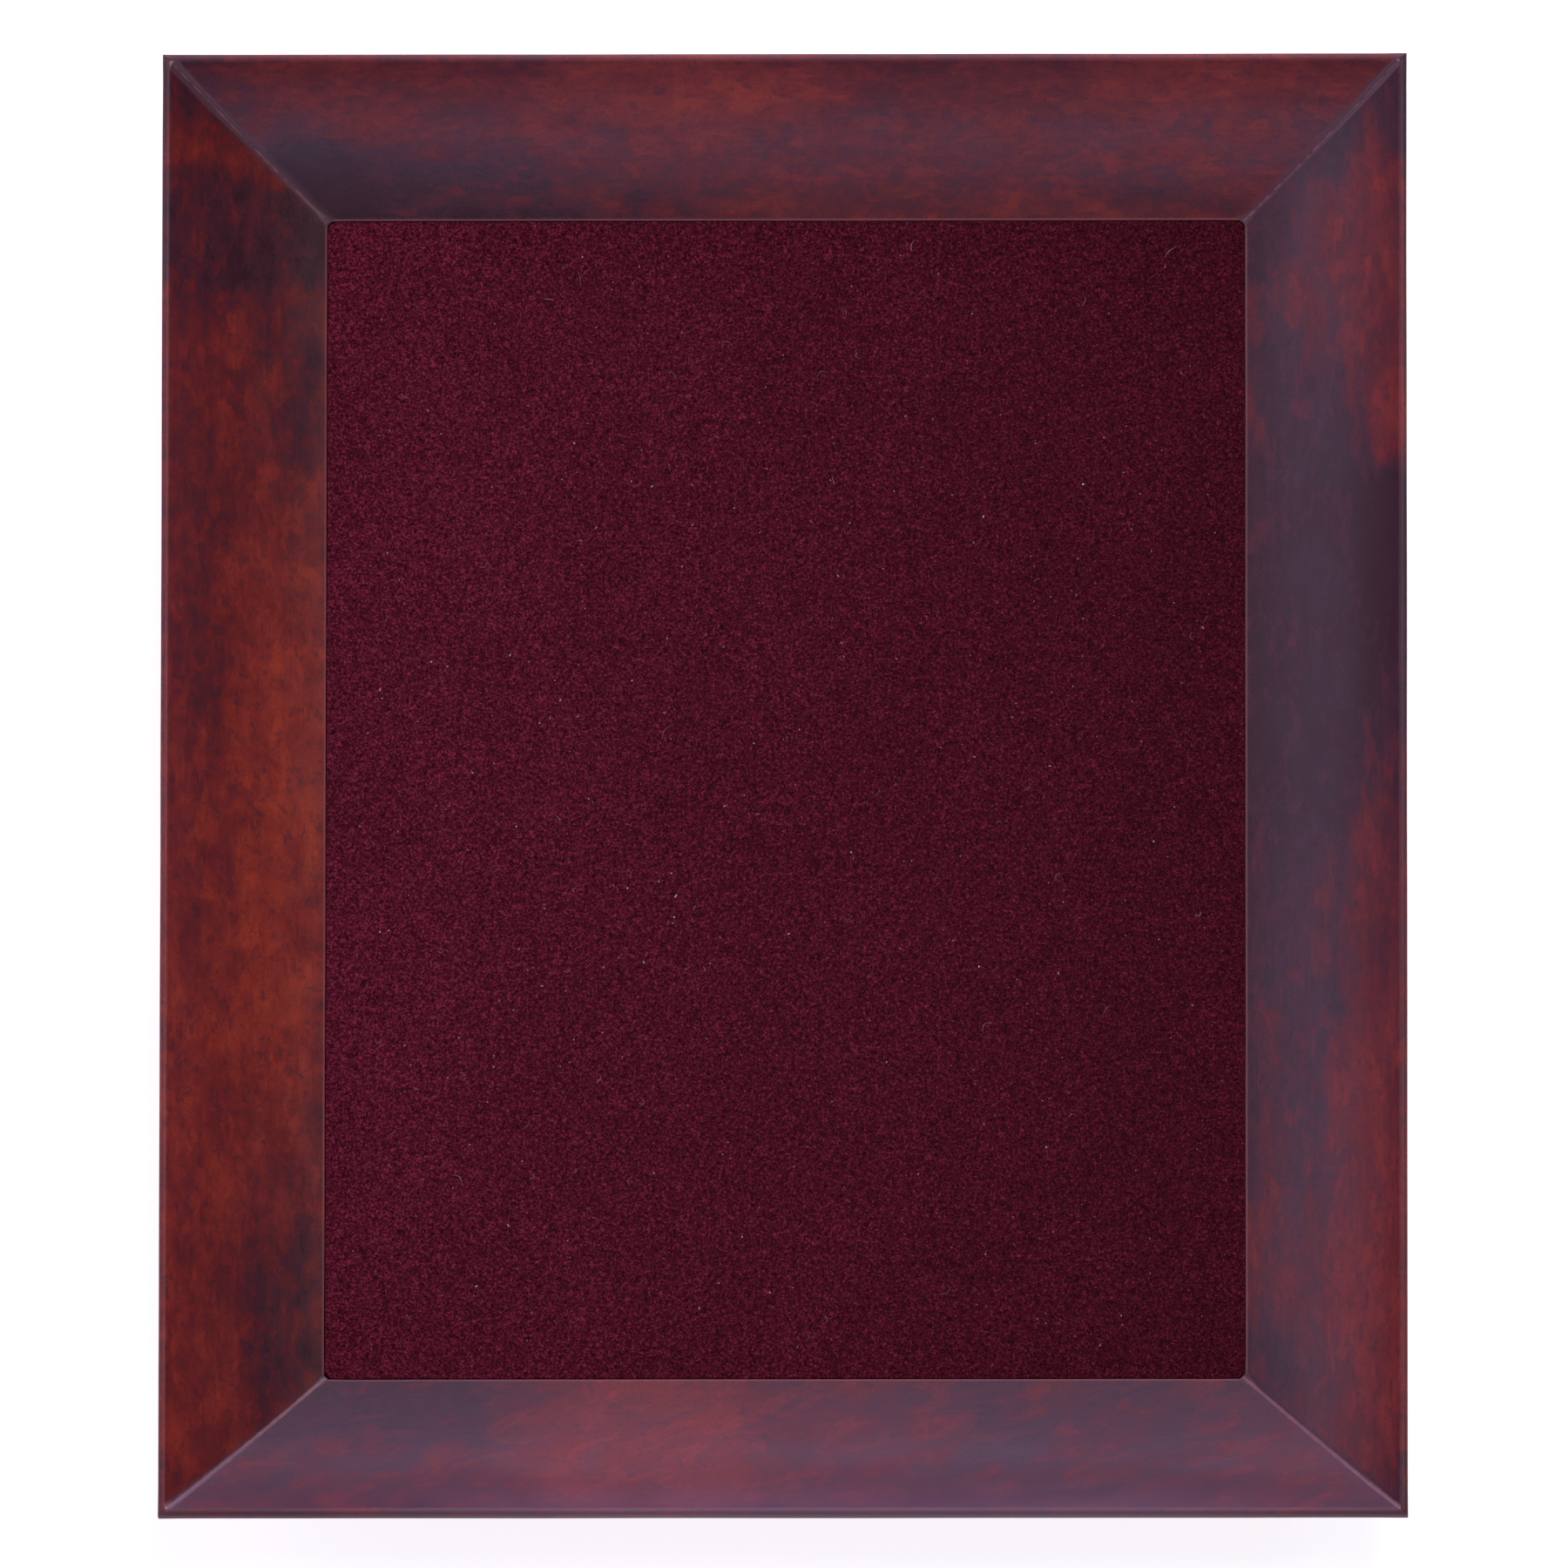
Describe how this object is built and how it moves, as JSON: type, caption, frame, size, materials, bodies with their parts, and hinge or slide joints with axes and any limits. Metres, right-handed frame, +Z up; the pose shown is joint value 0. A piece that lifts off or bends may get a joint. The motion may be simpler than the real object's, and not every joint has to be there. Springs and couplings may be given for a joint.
{
  "type": "offering plate",
  "caption": "Rectangular wooden offering plate with coved mitred sides, a flat bottom and a drop-in velvet pad that lifts out.",
  "frame": {"origin": "centre of the underside, on the surface the plate stands on", "axes": "+Z up out of the open dish, +Y along the long sides towards the back, +X to the right"},
  "size_m": [0.3048, 0.361, 0.041],
  "materials": {
    "mahogany": "dark red mahogany stain under semi-gloss lacquer",
    "corner_filler": "tinted filler run, lacquered over",
    "plywood": "raw birch plywood",
    "felt": "wool felt",
    "velvet": "short-pile burgundy velvet",
    "wadding": "needled polyester wadding",
    "hardboard": "smooth hardboard",
    "brad_steel": "bright wire",
    "v_nail_steel": "blued strip"
  },
  "bodies": {
    "plate": {"back_side": "mahogany", "bottom_panel": "plywood", "corner_fillet_back_left": "corner_filler", "corner_fillet_back_right": "corner_filler", "corner_fillet_front_left": "corner_filler", "corner_fillet_front_right": "corner_filler", "front_side": "mahogany", "left_side": "mahogany", "panel_brads_back": "brad_steel", "panel_brads_front": "brad_steel", "panel_brads_left": "brad_steel", "panel_brads_right": "brad_steel", "right_side": "mahogany", "underside_felt": "felt", "v_nails_back_left": "v_nail_steel", "v_nails_back_right": "v_nail_steel", "v_nails_front_left": "v_nail_steel", "v_nails_front_right": "v_nail_steel"},
    "pad": {"pad_velvet": "velvet", "pad_wadding": "wadding", "pad_board": "hardboard"}
  },
  "joints": [
    {"name": "pad_lift", "type": "slide", "parent": "plate", "child": "pad", "axis": [0, 0, 1], "range_m": [0, 0.06]}
  ]
}
